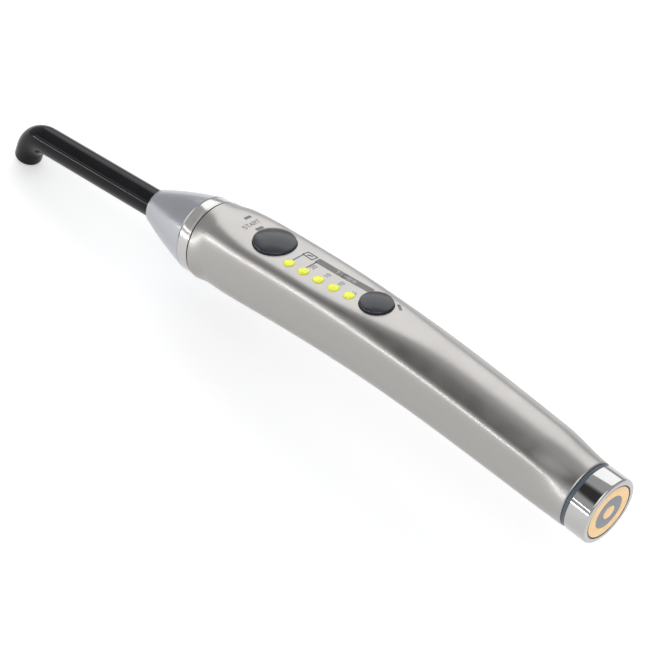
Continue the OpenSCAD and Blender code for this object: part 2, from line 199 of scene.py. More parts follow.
def ring_faces(rings, around, closed_loop):
    """Quads between rings of points; closed_loop joins the last ring to the first."""
    last = rings if closed_loop else rings - 1
    faces = []
    for i in range(last):
        a, b = i * around, (i + 1) % rings * around
        faces += [(a + j, a + (j + 1) % around, b + (j + 1) % around, b + j)
                  for j in range(around)]
    return faces


def rounded(corners, steps=6):
    """An outline of (along, radius, corner radius) with its corners turned into arcs."""
    outline = []
    count = len(corners)
    for i, (x, r, fillet) in enumerate(corners):
        here = Vector((x, r))
        if fillet <= 0:
            outline.append(tuple(here))
            continue
        before = Vector(corners[i - 1][:2]) - here
        after = Vector(corners[(i + 1) % count][:2]) - here
        half = before.angle(after) / 2
        # an arc may take up just under half of the side on either hand
        reach = min(fillet / math.tan(half), 0.49 * before.length, 0.49 * after.length)
        start, end = here + before.normalized() * reach, here + after.normalized() * reach
        middle = here + (before.normalized() + after.normalized()).normalized() * (
            reach / math.cos(half))
        spoke = start - middle
        swing = (end - middle).angle_signed(spoke)
        for k in range(steps + 1):
            turn = swing * k / steps
            outline.append((middle.x + spoke.x * math.cos(turn) - spoke.y * math.sin(turn),
                            middle.y + spoke.x * math.sin(turn) + spoke.y * math.cos(turn)))
    return outline


def turned(name, outline, place=REST, around=128, sharp=35.0):
    """A closed outline of (along, radius) turned about X."""
    points = [(x, r * math.cos(2 * math.pi * j / around), r * math.sin(2 * math.pi * j / around))
              for x, r in outline for j in range(around)]
    return make_object(name, points, ring_faces(len(outline), around, True), place, sharp)


UP = Matrix.Rotation(math.radians(-90), 4, "Y")      # turns a shape made along X to point up


def dress(obj, body, slot, material, *nodes):
    """Puts a piece under its body, gives it its material and hides the CAD nodes that it stands in
    for.
    """
    obj.data.materials.clear()
    obj.data.materials.append(material)
    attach(obj, body)
    if nodes:
        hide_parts(*nodes)


def cut_holes(obj, cutters):
    """Cuts the shapes out of the piece and removes them."""
    for cutter in cutters:
        cut = obj.modifiers.new("cut", "BOOLEAN")
        cut.operation, cut.solver, cut.object = "DIFFERENCE", "EXACT", cutter
    bpy.context.view_layer.update()
    shaped = obj.evaluated_get(bpy.context.evaluated_depsgraph_get())
    mesh = bpy.data.meshes.new_from_object(shaped)
    obj.modifiers.clear()
    obj.data = mesh
    for cutter in cutters:
        bpy.data.objects.remove(cutter)
    mesh.shade_smooth()
    mesh.set_sharp_from_angle(angle=math.radians(SHELL_SHARP))


# ---------------------------------------------------------------- materials

TEXTURE_LOW, TEXTURE_HIGH = 0.3, 0.7     # the middle range of a texture's values


class Shader:
    """A Principled material with short ways to add procedural detail."""

    def __init__(self, name, colour, metallic=0.0, roughness=0.5):
        self.material = bpy.data.materials.new(name)
        self.material.use_nodes = True
        self.tree = self.material.node_tree
        self.main = self.tree.nodes["Principled BSDF"]
        self.place = self.add("ShaderNodeTexCoord").outputs["Object"]
        self.set("Base Color", (*colour, 1))
        self.set("Metallic", metallic)
        self.set("Roughness", roughness)
        self.colour = colour

    def add(self, kind):
        return self.tree.nodes.new(kind)

    def link(self, source, target):
        self.tree.links.new(source, target)

    def set(self, socket, value):
        self.main.inputs[socket].default_value = value
        return self

    def noise(self, per_mm, detail=3.0, stretch=(1, 1, 1)):
        """Noise with so many features a millimetre, stretched by the given factors."""
        mapping = self.add("ShaderNodeMapping")
        mapping.inputs["Scale"].default_value = [per_mm / MM * s for s in stretch]
        texture = self.add("ShaderNodeTexNoise")
        texture.inputs["Scale"].default_value = 1.0
        texture.inputs["Detail"].default_value = detail
        self.link(self.place, mapping.inputs["Vector"])
        self.link(mapping.outputs["Vector"], texture.inputs["Vector"])
        return texture.outputs["Fac"]

    def spread(self, source, low, high):
        """Maps a texture's middle range onto low to high."""
        node = self.add("ShaderNodeMapRange")
        for socket, value in (("From Min", TEXTURE_LOW), ("From Max", TEXTURE_HIGH),
                              ("To Min", low), ("To Max", high)):
            node.inputs[socket].default_value = value
        self.link(source, node.inputs["Value"])
        return node.outputs["Result"]

    def tint(self, source, darker, lighter):
        """Varies the colour between two multiples of itself."""
        node = self.add("ShaderNodeValToRGB")
        for end, position, factor in zip(node.color_ramp.elements, (TEXTURE_LOW, TEXTURE_HIGH),
                                         (darker, lighter)):
            end.position, end.color = position, (*[c * factor for c in self.colour], 1)
        self.link(source, node.inputs["Fac"])
        self.link(node.outputs["Color"], self.main.inputs["Base Color"])
        return self

    def rough(self, source, low, high):
        """Varies the roughness between two values."""
        self.link(self.spread(source, low, high), self.main.inputs["Roughness"])
        return self

    def bump(self, source, depth_mm, strength):
        """Raises the surface by a texture; nothing of it is in the mesh."""
        node = self.add("ShaderNodeBump")
        node.inputs["Strength"].default_value = strength
        node.inputs["Distance"].default_value = depth_mm * MM
        self.link(source, node.inputs["Height"])
        self.link(node.outputs["Normal"], self.main.inputs["Normal"])
        return self


def blasted(name, colour, roughness, grain=7.0, depth=0.004):
    """Satin metal: a fine even grain with faint clouds in its sheen."""
    s = Shader(name, colour, 1.0, roughness)
    s.rough(s.noise(0.12, 4), roughness - 0.03, roughness + 0.03)
    s.tint(s.noise(grain, 2), 0.965, 1.035)
    return s.bump(s.noise(grain, 3), depth, 0.5).material


def lathe_turned(name, colour, roughness, lines=9.0, depth=0.001):
    """Polished metal with the faint rings that turning leaves, across X."""
    s = Shader(name, colour, 1.0, roughness)
    rings = s.noise(lines, 2, (1, 0.02, 0.02))
    s.rough(rings, roughness * 0.8, roughness * 1.25)
    s.tint(s.noise(0.2, 3), 0.97, 1.03)
    return s.bump(rings, depth, 0.4).material


def faced(name, colour, roughness, depth=0.002):
    """A gold or steel contact: brushed face with a slightly worn, cloudy sheen."""
    s = Shader(name, colour, 1.0, roughness)
    s.rough(s.noise(0.6, 5), roughness - 0.06, roughness + 0.08)
    s.tint(s.noise(0.35, 4), 0.9, 1.06)
    return s.bump(s.noise(5, 3, (1, 1, 0.15)), depth, 0.5).material


def moulded(name, colour, roughness, grain=4.0, depth=0.006, coat=0.0):
    """Moulded plastic or rubber with a fine texture."""
    s = Shader(name, colour, 0.0, roughness)
    s.rough(s.noise(0.5, 4), roughness - 0.05, roughness + 0.06)
    s.tint(s.noise(0.25, 4), 0.9, 1.1)
    s.set("Coat Weight", coat)
    return s.bump(s.noise(grain, 3), depth, 0.5).material


def laminate(name, colour):
    """A printed circuit board: solder mask over a woven laminate."""
    s = Shader(name, colour, 0.0, 0.35)
    s.tint(s.noise(1.3, 2, (1, 0.2, 1)), 0.7, 1.35)
    s.rough(s.noise(2.0, 3), 0.28, 0.45)
    return s.bump(s.noise(2.5, 2, (1, 1, 0.3)), 0.01, 0.6).material


def clear(name, colour, roughness, weight):
    """Glass, with faint smears."""
    s = Shader(name, colour, 0.0, roughness)
    s.set("Transmission Weight", weight).set("IOR", 1.5)
    s.rough(s.noise(0.4, 3), roughness * 0.7, roughness * 1.4)
    return s.tint(s.noise(0.3, 3), 0.96, 1.04).material


def lit_lens(name):
    """An indicator that is lit from below: bright yellow-green, glossy, uneven inside."""
    s = Shader(name, (0.68, 0.72, 0.02), 0.0, 0.22)
    glow = s.noise(0.9, 3)
    s.tint(glow, 0.8, 1.15)
    s.set("Emission Color", (0.80, 0.82, 0.03, 1)).set("Emission Strength", 0.22)
    s.set("Coat Weight", 0.5).set("Coat Roughness", 0.08)
    s.rough(s.noise(0.5, 3), 0.18, 0.3)
    return s.bump(s.noise(1.6, 2), 0.02, 0.4).material


def fibre_face(name):
    """The fused fibre bundle: a fine mosaic of glass ends."""
    s = Shader(name, (0.30, 0.22, 0.15), 0.0, 0.2)
    cells = s.add("ShaderNodeTexVoronoi")
    cells.inputs["Scale"].default_value = 9.0 / MM
    s.link(s.place, cells.inputs["Vector"])
    s.tint(cells.outputs["Distance"], 1.3, 0.6)
    s.rough(s.noise(1.0, 3), 0.12, 0.28)
    return s.set("Coat Weight", 0.6).material


def gloss_black(name):
    """Black glass cladding: near black, mirror smooth, with faint smears in its polish."""
    s = Shader(name, (0.004, 0.004, 0.005), 0.0, 0.07)
    s.rough(s.noise(0.08, 5), 0.045, 0.1)
    s.tint(s.noise(0.2, 3), 0.7, 1.4)
    s.set("Specular IOR Level", 0.16)
    return s.bump(s.noise(0.25, 2), 0.004, 0.3).material


STEEL = blasted("steel_satin", (0.385, 0.372, 0.358), 0.33)
CONE_METAL = blasted("cone_satin", (0.43, 0.44, 0.465), 0.24, 6.0, 0.003)
RING_METAL = lathe_turned("ring_polished", (0.52, 0.505, 0.49), 0.15, 6.0, 0.002)
CHROME = lathe_turned("chrome", (0.47, 0.465, 0.46), 0.07)
RUBBER = moulded("key_rubber", (0.014, 0.018, 0.024), 0.22, 5.0, 0.003)
GASKET = moulded("gasket_rubber", (0.060, 0.078, 0.105), 0.45, 3.0, 0.006)
DARK_GAP = moulded("gap_rubber", (0.030, 0.030, 0.034), 0.6, 3.0, 0.006)
BLACK_RUBBER = moulded("o_ring_rubber", (0.02, 0.02, 0.02), 0.45)
BLACK = gloss_black("black_glass")
FIBRE = fibre_face("fibre_bundle")
LENS = lit_lens("indicator_lit")
GOLD = faced("gold_plating", (0.80, 0.545, 0.27), 0.27)
INSULATOR = moulded("insulator_grey", (0.205, 0.22, 0.245), 0.4)
BLACK_PLASTIC = moulded("black_plastic", (0.018, 0.018, 0.02), 0.42)
TRAY_PLASTIC = moulded("tray_plastic", (0.5, 0.5, 0.46), 0.45)
SLEEVE_BLUE = moulded("sleeve_blue", (0.03, 0.10, 0.26), 0.25, 1.2, 0.01, 0.4)
BOARD = laminate("board_green", (0.02, 0.12, 0.05))
BARE_METAL = blasted("bare_aluminium", (0.62, 0.63, 0.65), 0.3, 3.0)
CELL_METAL = lathe_turned("cell_can", (0.62, 0.63, 0.65), 0.24, 5.0, 0.002)
BRASS = lathe_turned("collar_brass", (0.62, 0.48, 0.24), 0.22, 5.0, 0.002)
MAGNET = lathe_turned("magnet_nickel", (0.30, 0.30, 0.31), 0.25, 5.0, 0.002)
SCREW_METAL = lathe_turned("screw_zinc", (0.55, 0.55, 0.55), 0.28, 5.0, 0.002)
GLASS = clear("window_glass", (0.85, 0.92, 0.94), 0.05, 0.9)
DIODE = moulded("diode_epoxy", (0.62, 0.60, 0.34), 0.3, 3.0, 0.004, 0.4)
INK = moulded("ink_grey", (0.085, 0.083, 0.08), 0.6, 6.0, 0.002)
PALE_INK = moulded("ink_pale", (0.17, 0.165, 0.16), 0.6, 6.0, 0.002)
BAR_INK = moulded("ink_bar", (0.19, 0.185, 0.18), 0.55, 6.0, 0.002)
LIGHT_INK = moulded("ink_light", (0.62, 0.61, 0.59), 0.55, 6.0, 0.002)

# CAD nodes that stay as they are, with their finish
KEPT = {
    "retaining_magnet": MAGNET, "armature_ring": MAGNET, "nose_socket": BARE_METAL,
    "led_board": BARE_METAL, "heat_sink": BARE_METAL, "light_collector": BARE_METAL,
    "protective_window": GLASS, "guide_core": FIBRE, "seal_membrane": RUBBER,
    "cap_o_ring": BLACK_RUBBER, "led_emitter": DIODE, "control_board": BOARD,
    "protection_board": BOARD, "start_switch": BLACK_PLASTIC, "time_switch": BLACK_PLASTIC,
    "microcontroller": BLACK_PLASTIC, "driver_coil": BLACK_PLASTIC, "sounder": BLACK_PLASTIC,
    "contact_block": BLACK_PLASTIC, "board_tray": TRAY_PLASTIC, "board_screws": SCREW_METAL,
    "battery_contact_pin": GOLD, "battery_terminal": GOLD, "ground_strip": GOLD,
    "thread_collar": BRASS, "battery_sleeve": SLEEVE_BLUE, "battery_cell": CELL_METAL,
}
KEPT.update({f"indicator_led_{i + 1}": DIODE for i in range(INDICATORS)})


def dress_kept_nodes():
    for node, material in KEPT.items():
        mesh = frame["nodes"][node].data
        mesh.materials.clear()
        mesh.materials.append(material)
        mesh.shade_smooth()
        mesh.set_sharp_from_angle(angle=math.radians(CAD_SHARP))


# ---------------------------------------------------------------- housing

START_U, TIME_U = 0.8325, 0.555
START_R, TIME_R, KEY_GAP = 7.2, 5.55, 0.2
FIRST_INDICATOR_U, INDICATOR_PITCH = 0.763, 6.08
FIRST_INDICATOR_Y, ROW_LEAN, ROW_CURVE = 4.65, 0.2, 0.05
INDICATOR_R, LENS_GAP = 1.85, 0.05
CUT_FROM, CUT_TO = 8.0, 18.0             # heights between which a hole is cut


def indicator_place(i):
    """Share of the length and Y of an indicator, counted from the nose."""
    return (FIRST_INDICATOR_U - i * INDICATOR_PITCH / LENGTH,
            FIRST_INDICATOR_Y - ROW_LEAN * i - ROW_CURVE * i * i)


def hole_cutter(u, y, r):
    rim = [(CUT_FROM, 0.0), (CUT_FROM, r), (CUT_TO, r), (CUT_TO, 0.0)]
    return turned("cutter", rim, station_frame(u) @ Matrix.Translation((0, y, 0)) @ UP, 96)


def housing():
    """The steel shell with its holes; its rings lie closer together towards both ends."""
    step = np.arange(SKIN_ALONG + 1)
    share = (1 - np.cos(np.pi * step / SKIN_ALONG)) / 2
    u = 0.5 * share + 0.5 * step / SKIN_ALONG
    turn = 2 * np.pi * np.arange(SKIN_AROUND) / SKIN_AROUND
    outer = skin(u[:, None], turn[None, :])
    for end in (0, -1):
        outer[end] = skin(u[end], turn, -END_ROUND)
    inner_u = u[::INSIDE_STEP][::-1]
    inner = skin(inner_u[:, None], turn[None, :], -WALL)
    points = np.concatenate([outer, inner]).reshape(-1, 3)
    shell = make_object("housing_skin", points,
                        ring_faces(len(u) + len(inner_u), SKIN_AROUND, True),
                        sharp=SHELL_SHARP)
    cutters = [hole_cutter(START_U, 0, START_R + KEY_GAP),
               hole_cutter(TIME_U, 0, TIME_R + KEY_GAP)]
    for i in range(INDICATORS):
        place, y = indicator_place(i)
        cutters.append(hole_cutter(place, y, INDICATOR_R + LENS_GAP))
    cut_holes(shell, cutters)
    dress(shell, "handpiece", "steel_satin", STEEL, "housing")


# ---------------------------------------------------------------- keys and indicators

KEY_SIDE, KEY_EDGE = 0.5, 0.6            # height of a key's side above the skin, its rounding
KEY_EDGE_TURN, KEY_EDGE_DRAWN = 60, 52   # degrees of the rounding: to the dome, and drawn
START_DOME, TIME_DOME, KEY_DOME_TRIM = 1.25, 0.8, 0.02
START_TILT = 3.5                         # degrees
STEM_FOOT, STEM_R = 7.8, 1.6
FLANGE_T, FLANGE_OUT, FLANGE_GAP = 0.5, 0.6, 0.4
PIPE_FOOT, PIPE_R = 6.75, 1.3            # the light pipe under a lens
LENS_FLANGE_T, LENS_FLANGE_R, LENS_FLANGE_GAP = 0.4, 2.3, 0.15
LENS_SIDE, LENS_DOME = 0.1, 0.5


def top_h(u, y=0.0):
    """Height of the skin above the centre line of a station, at y."""
    turn = math.pi / 2
    for _ in range(ROUNDS):
        turn = math.acos(y / float(section_r(u, turn)))
    return float(section_r(u, turn)) * math.sin(turn)


def dome(r, low, height, steps=24):
    """Outline of a domed top as (height, radius), from the edge to the middle."""
    ball = (r * r + height * height) / (2 * height)
    start = math.asin(r / ball)
    return [(low + height - ball * (1 - math.cos(start * (1 - k / steps))),
             ball * math.sin(start * (1 - k / steps))) for k in range(steps + 1)]


def key(name, node, body, u, r, height, tilt=0.0):
    """A domed key; tilt makes it follow the panel where that isn't parallel to its station."""
    flange_top = top_h(u) - WALL - FLANGE_GAP
    rim = top_h(u) + KEY_SIDE
    crown = dome(r - KEY_EDGE / 2, rim + KEY_EDGE * math.sin(math.radians(KEY_EDGE_TURN)),
                 height - KEY_DOME_TRIM)
    shoulder = [(rim + KEY_EDGE * math.sin(a), r - KEY_EDGE + KEY_EDGE * math.cos(a))
                for a in np.linspace(0, math.radians(KEY_EDGE_DRAWN), 7)]
    follow = Matrix.Identity(4)
    follow[2][0] = math.tan(math.radians(tilt))
    outline = [(STEM_FOOT, 0.0), (STEM_FOOT, STEM_R), (flange_top - FLANGE_T, STEM_R),
               (flange_top - FLANGE_T, r + FLANGE_OUT), (flange_top, r + FLANGE_OUT),
               (flange_top, r)] + shoulder + crown
    piece = turned(name, outline, station_frame(u) @ follow @ UP, 128, 50)
    dress(piece, body, "key_rubber", RUBBER, node)


def indicators():
    """The five lenses, each with its flange and light pipe."""
    for i in range(INDICATORS):
        u, y = indicator_place(i)
        face = top_h(u, y)
        shoulder = face - WALL - LENS_FLANGE_GAP
        outline = [(PIPE_FOOT, 0.0), (PIPE_FOOT, PIPE_R), (shoulder - LENS_FLANGE_T, PIPE_R),
                   (shoulder - LENS_FLANGE_T, LENS_FLANGE_R), (shoulder, LENS_FLANGE_R),
                   (shoulder, INDICATOR_R)]
        outline += [(face + LENS_SIDE + LENS_DOME * math.sin(a), INDICATOR_R * math.cos(a))
                    for a in np.linspace(0, math.pi / 2, 14)]
        piece = turned(f"indicator_{i + 1}", outline,
                       station_frame(u) @ Matrix.Translation((0, y, 0)) @ UP, 64)
        dress(piece, "handpiece", "indicator_yellow", LENS, f"indicator_lens_{i + 1}")


# ---------------------------------------------------------------- nose and light guide
# All of it is measured along the nose's axis, from the front rim of the housing.

RING_X0, RING_X1 = 0.25, 4.95
RING_FRONT_R, RING_REAR_R = NOSE_R - 0.35, NOSE_R - 0.25
RING_NOTCH = 0.22                        # width of the dark line between ring and housing
LINE_X0, LINE_X1, LINE_D = 0.75, 1.05, 0.14      # the line turned into the ring
GAP_R = 13.3
SOCKET_R, MAGNET_R, MAGNET_SEAT = 11.0, 12.35, 2.5
CONE_X0, CONE_X1 = 5.15, 28.55
CONE_REAR_R, CONE_TIP_R, CONE_SWELL = 13.4, 6.45, 0.45
CONE_EDGE, CONE_LIP = 0.25, 0.8          # the break at the wide end, the round at the tip
PLUG_X0, PLUG_R, PLUG_EDGE = -1.7, 8.0, 0.4
CORE_SEAT_R = 5.05
ARMATURE_R0, ARMATURE_R1, ARMATURE_D = 10.9, 12.25, 2.1       # the armature ring's groove
GUIDE_R, GUIDE_BORE = 5.0, 4.55
GUIDE_X0 = -1.5
GUIDE_EDGE, GUIDE_EDGE_SHARE = 0.9, 0.45         # the rounded end: its length, its depth
BEND_X, BEND_R, BEND_ANGLE = 86.35, 11.2, 68.3
TIP_L, TIP_STEPS = 4.2, (1.2, 2.4, 3.2)  # past the bend; the steps stop short of the round


def nose_rings():
    """The polished ring with its turned line, and the dark line behind it."""
    gap = turned("nose_gap", [(0.0, SOCKET_R), (0.0, GAP_R), (RING_X0, GAP_R),
                              (RING_X0, SOCKET_R)], NOSE_FRAME)
    dress(gap, "handpiece", "gasket_rubber", DARK_GAP, "nose_gasket")
    notch_x, line_r = RING_X0 + RING_NOTCH, RING_REAR_R - LINE_D
    outline = rounded([(RING_X0, SOCKET_R, 0), (RING_X0, RING_REAR_R - 0.6, 0),
                       (notch_x, RING_REAR_R - 0.55, 0), (notch_x, RING_REAR_R, 0.06),
                       (RING_X0 + LINE_X0, RING_REAR_R, 0.06),
                       (RING_X0 + LINE_X0 + 0.05, line_r, 0.05),
                       (RING_X0 + LINE_X1 - 0.05, line_r, 0.05),
                       (RING_X0 + LINE_X1, RING_FRONT_R + 0.02, 0.06),
                       (RING_X1, RING_FRONT_R, 0.25), (RING_X1, MAGNET_R, 0),
                       (RING_X1 - MAGNET_SEAT, MAGNET_R, 0), (RING_X1 - MAGNET_SEAT, SOCKET_R, 0)])
    ring = turned("nose_ring_polished", outline, NOSE_FRAME, 192)
    dress(ring, "handpiece", "steel_polished", RING_METAL, "nose_ring")


def guide_cone():
    """The swelling cone, with the plug behind it and the groove of the armature ring."""
    flank_l = CONE_X1 - CONE_LIP - CONE_X0 - CONE_EDGE
    flank = [(CONE_X0 + CONE_EDGE + flank_l * s,
              CONE_REAR_R + (CONE_TIP_R - CONE_REAR_R) * s + CONE_SWELL * 4 * s * (1 - s))
             for s in np.linspace(0, 1, 40)]
    lip = [(CONE_X1 - CONE_LIP + CONE_LIP * math.sin(a),
            CONE_TIP_R - CONE_LIP + CONE_LIP * math.cos(a))
           for a in np.linspace(0, math.pi / 2, 12)[1:]]
    plug = [(PLUG_X0, CORE_SEAT_R), (PLUG_X0, PLUG_R - PLUG_EDGE), (PLUG_X0 + PLUG_EDGE, PLUG_R),
            (CONE_X0, PLUG_R), (CONE_X0, ARMATURE_R0), (CONE_X0 + ARMATURE_D, ARMATURE_R0),
            (CONE_X0 + ARMATURE_D, ARMATURE_R1), (CONE_X0, ARMATURE_R1),
            (CONE_X0, CONE_REAR_R - CONE_EDGE)]
    cone = turned("guide_cone_satin", plug + flank + lip + [(CONE_X1, CORE_SEAT_R)], NOSE_FRAME,
                  192)
    dress(cone, "light_guide", "aluminium_cone", CONE_METAL, "guide_cone")


def guide_path(steps=36):
    """Points and forward directions along the guide's centre line, in the nose frame."""
    path = [((x, 0.0), 0.0) for x in np.linspace(GUIDE_X0, BEND_X, 24)]
    for k in range(1, steps + 1):
        a = math.radians(BEND_ANGLE) * k / steps
        path.append(((BEND_X + BEND_R * math.sin(a), -BEND_R * (1 - math.cos(a))), a))
    (x, z), a = path[-1]
    for d in (*TIP_STEPS, TIP_L):
        path.append(((x + d * math.cos(a), z - d * math.sin(a)), a))
    return path


def swept_ring(point, lean, r, around):
    """A ring square to the guide's centre line."""
    x, z = point
    ring = []
    for j in range(around):
        t = 2 * math.pi * j / around
        up = r * math.sin(t)
        ring.append((x + up * math.sin(lean), r * math.cos(t), z + up * math.cos(lean)))
    return ring


def guide_jacket():
    """The black jacket: outside, rounded end and bore, swept along the centre line."""
    around, end_steps = 96, 8
    path = guide_path()
    (x, z), lean = path[-1]
    rings = [swept_ring(p, a, GUIDE_R, around) for p, a in path[:-1]]
    for k in range(end_steps + 1):
        a = math.pi / 2 * k / end_steps
        back = GUIDE_EDGE * (1 - math.sin(a))
        rings.append(swept_ring((x - back * math.cos(lean), z + back * math.sin(lean)), lean,
                                GUIDE_R - GUIDE_EDGE * GUIDE_EDGE_SHARE * (1 - math.cos(a)),
                                around))
    rings += [swept_ring(p, a, GUIDE_BORE, around) for p, a in reversed(path)]
    points = [p for ring in rings for p in ring]
    tube = make_object("guide_black", points, ring_faces(len(rings), around, True), NOSE_FRAME)
    dress(tube, "light_guide", "black_jacket", BLACK, "guide_jacket")


# ---------------------------------------------------------------- battery end

CAP_EDGE, RIM_EDGE = 0.75, 0.12
SPIGOT_R, SPIGOT_L, SPIGOT_BORE = 9.35, 10.0, 7.6
GROOVE_BACK, GROOVE_HALF, GROOVE_R = 2.2, 0.55, 8.3      # the O-ring's groove
BOARD_SEAT_R, BOARD_SEAT_WALL = 8.2, 1
RECESS_R, RECESS_D = 9.45, 3.2
SEAL_BORE, SEAL_EDGE = 9.4, 0.3
CONTACT_T, CONTACT_FACE = 0.95, 0.1      # back and front of the contacts, from the rim
CONTACTS = {
    # node: finish, material, outer radius, inner radius
    "outer_contact": ("gold_contact", GOLD, 9.0, 5.75),
    "contact_insulator": ("insulator_grey", INSULATOR, 5.7, 2.55),
}
CENTRE_R, CENTRE_PIN_R, CENTRE_PIN_X = 2.5, 0.8, 4.3
CARRIER_X0, CARRIER_X1, CARRIER_FLOOR = 0.2, 3.15, 1.0
CARRIER_R, CARRIER_LIP_R, CARRIER_BORE = 9.4, 9.05, 0.85


def part(name, body, finish, material, node, corners, around=128, steps=6):
    """A piece turned about X from the corners of its outline, and dressed."""
    dress(turned(name, rounded(corners, steps), around=around), body, finish, material, node)


def battery_end():
    """The cap, its seal, the charging contacts and what carries them."""
    tail = CAP_L + SPIGOT_L
    groove = tail - GROOVE_BACK
    seat_x = CAP_L - BOARD_SEAT_WALL
    part("end_cap_chrome", "battery_unit", "steel_polished", CHROME, "end_cap", [
        (0, RECESS_R, RIM_EDGE), (0, REAR_R, CAP_EDGE), (CAP_L, REAR_R, RIM_EDGE),
        (CAP_L, SPIGOT_R, 0), (groove - GROOVE_HALF, SPIGOT_R, 0),
        (groove - GROOVE_HALF, GROOVE_R, 0), (groove + GROOVE_HALF, GROOVE_R, 0),
        (groove + GROOVE_HALF, SPIGOT_R, 0), (tail, SPIGOT_R, 0.2), (tail, SPIGOT_BORE, 0),
        (seat_x, SPIGOT_BORE, 0), (seat_x, BOARD_SEAT_R, 0), (RECESS_D, BOARD_SEAT_R, 0),
        (RECESS_D, RECESS_R, 0)], 192, 10)
    seal_x0, seal_x1 = CAP_L + SEAL_GAP, REAR_X - SEAL_GAP
    part("cap_gasket_ring", "battery_seal", "gasket_rubber", GASKET, "cap_gasket", [
        (seal_x0, SEAL_BORE, 0), (seal_x0, GASKET_R, SEAL_EDGE), (seal_x1, GASKET_R, SEAL_EDGE),
        (seal_x1, SEAL_BORE, 0)], 160)
    for node, (finish, material, r, bore) in CONTACTS.items():
        part(node + "_face", "battery_unit", finish, material, node, [
            (CONTACT_FACE, bore, 0.08), (CONTACT_FACE, r, 0.1), (CONTACT_T, r, 0),
            (CONTACT_T, bore, 0)])
    part("centre_contact_face", "battery_unit", "gold_contact", GOLD, "centre_contact", [
        (0.0, 0.0, 0), (0.0, CENTRE_R, 0.25), (CONTACT_T, CENTRE_R, 0),
        (CONTACT_T, CENTRE_PIN_R, 0), (CENTRE_PIN_X, CENTRE_PIN_R, 0), (CENTRE_PIN_X, 0.0, 0)], 96)
    part("contact_carrier_ring", "battery_unit", "black_plastic", BLACK_PLASTIC,
         "contact_carrier", [
             (CARRIER_X0, CARRIER_LIP_R, 0), (CARRIER_X0, CARRIER_R, 0.08),
             (CARRIER_X1, CARRIER_R, 0), (CARRIER_X1, CARRIER_BORE, 0),
             (CARRIER_FLOOR, CARRIER_BORE, 0), (CARRIER_FLOOR, CARRIER_LIP_R, 0)])


# ---------------------------------------------------------------- printed marks

INK_TOP, INK_ROOT = 0.03, -0.05          # heights above the steel
PATCH = 0.4                              # least size of the quads that follow the skin
STROKE_END = 0.3                         # share of its width that a stroke is longer at an end
SHORTEST = 1e-6                          # a shorter piece of a line is left out
TIMER_X, TIMER_Y, TIMER_PITCH = 118.4, -2.9, 1.75
TIMER_LETTER, TIMER_LINE = (1.2, 1.1), 0.16      # width and height of a letter
GLYPHS = {
    # strokes in a box 0..1 wide and 0..1 high
    "S": [[(1, .85), (.75, 1), (.25, 1), (0, .82), (.1, .6), (.9, .4), (1, .18), (.75, 0),
           (.25, 0), (0, .15)]],
    "T": [[(0, 1), (1, 1)], [(.5, 1), (.5, 0)]],
    "A": [[(0, 0), (.5, 1), (1, 0)], [(.2, .38), (.8, .38)]],
    "R": [[(0, 0), (0, 1), (.75, 1), (1, .85), (1, .65), (.75, .5), (0, .5)],
          [(.5, .5), (1, 0)]],
    "I": [[(.5, 0), (.5, 1)]],
    "M": [[(0, 0), (0, 1), (.5, .4), (1, 1), (1, 0)]],
    "E": [[(1, 1), (0, 1), (0, 0), (1, 0)], [(0, .52), (.8, .52)]],
    "0": [[(.3, 0), (0, .25), (0, .75), (.3, 1), (.7, 1), (1, .75), (1, .25), (.7, 0), (.3, 0)]],
    "1": [[(.2, .8), (.6, 1), (.6, 0)]],
    "2": [[(0, .8), (.25, 1), (.75, 1), (1, .8), (1, .6), (0, 0), (1, 0)]],
    "5": [[(1, 1), (.15, 1), (0, .55), (.7, .6), (1, .4), (1, .2), (.7, 0), (.2, 0), (0, .15)]],
}


def stroke(line, width):
    """Quads of (x, y) corners along a line of points on the panel."""
    quads = []
    for (ax, ay), (bx, by) in zip(line, line[1:]):
        span = math.hypot(bx - ax, by - ay)
        if span < SHORTEST:
            continue
        fx, fy = (bx - ax) / span, (by - ay) / span
        ax, ay = ax - fx * width * STROKE_END, ay - fy * width * STROKE_END
        bx, by = bx + fx * width * STROKE_END, by + fy * width * STROKE_END
        count = max(1, int(span / PATCH))
        side = (-fy * width / 2, fx * width / 2)
        rows = max(1, int(width / PATCH))
        for i in range(count):
            for j in range(rows):
                corners = []
                for a, b in ((i, j), (i + 1, j), (i + 1, j + 1), (i, j + 1)):
                    s, t = a / count, 2 * b / rows - 1
                    corners.append((ax + (bx - ax) * s + side[0] * t,
                                    ay + (by - ay) * s + side[1] * t))
                quads.append(corners)
    return quads


def print_mark(name, strokes, material=INK, top=INK_TOP):
    """Ink on the skin: each stroke is (points, width), raised a little above the steel."""
    points, faces = [], []
    for line, width in strokes:
        for corners in stroke(line, width):
            xy = np.array(corners)
            for lift in (top, INK_ROOT):
                points += [tuple(p) for p in on_skin(xy[:, 0], xy[:, 1], lift)]
            n = len(points) - 8
            faces += [(n, n + 1, n + 2, n + 3), (n + 7, n + 6, n + 5, n + 4)]
            faces += [(n + k, n + 4 + k, n + 4 + (k + 1) % 4, n + (k + 1) % 4) for k in range(4)]
    mark = make_object(name, points, faces, sharp=60)
    dress(mark, "handpiece", "steel_satin", material)


def lettering(word, x, y, height, width, gap, line_width):
    """Strokes of a word that reads towards -Y with its letters' tops towards the nose."""
    strokes = []
    for k, letter in enumerate(word):
        left = y - k * (width + gap)
        for line in GLYPHS[letter]:
            strokes.append(([(x + b * height, left - a * width) for a, b in line], line_width))
    return strokes


def timer_word():
    """TIMER along the bar: it reads towards the rear, with its letters' tops towards -Y."""
    strokes = []
    for k, letter in enumerate("TIMER"):
        for line in GLYPHS[letter]:
            strokes.append(([(TIMER_X - k * TIMER_PITCH - a * TIMER_LETTER[0],
                              TIMER_Y - b * TIMER_LETTER[1]) for a, b in line], TIMER_LINE))
    return strokes


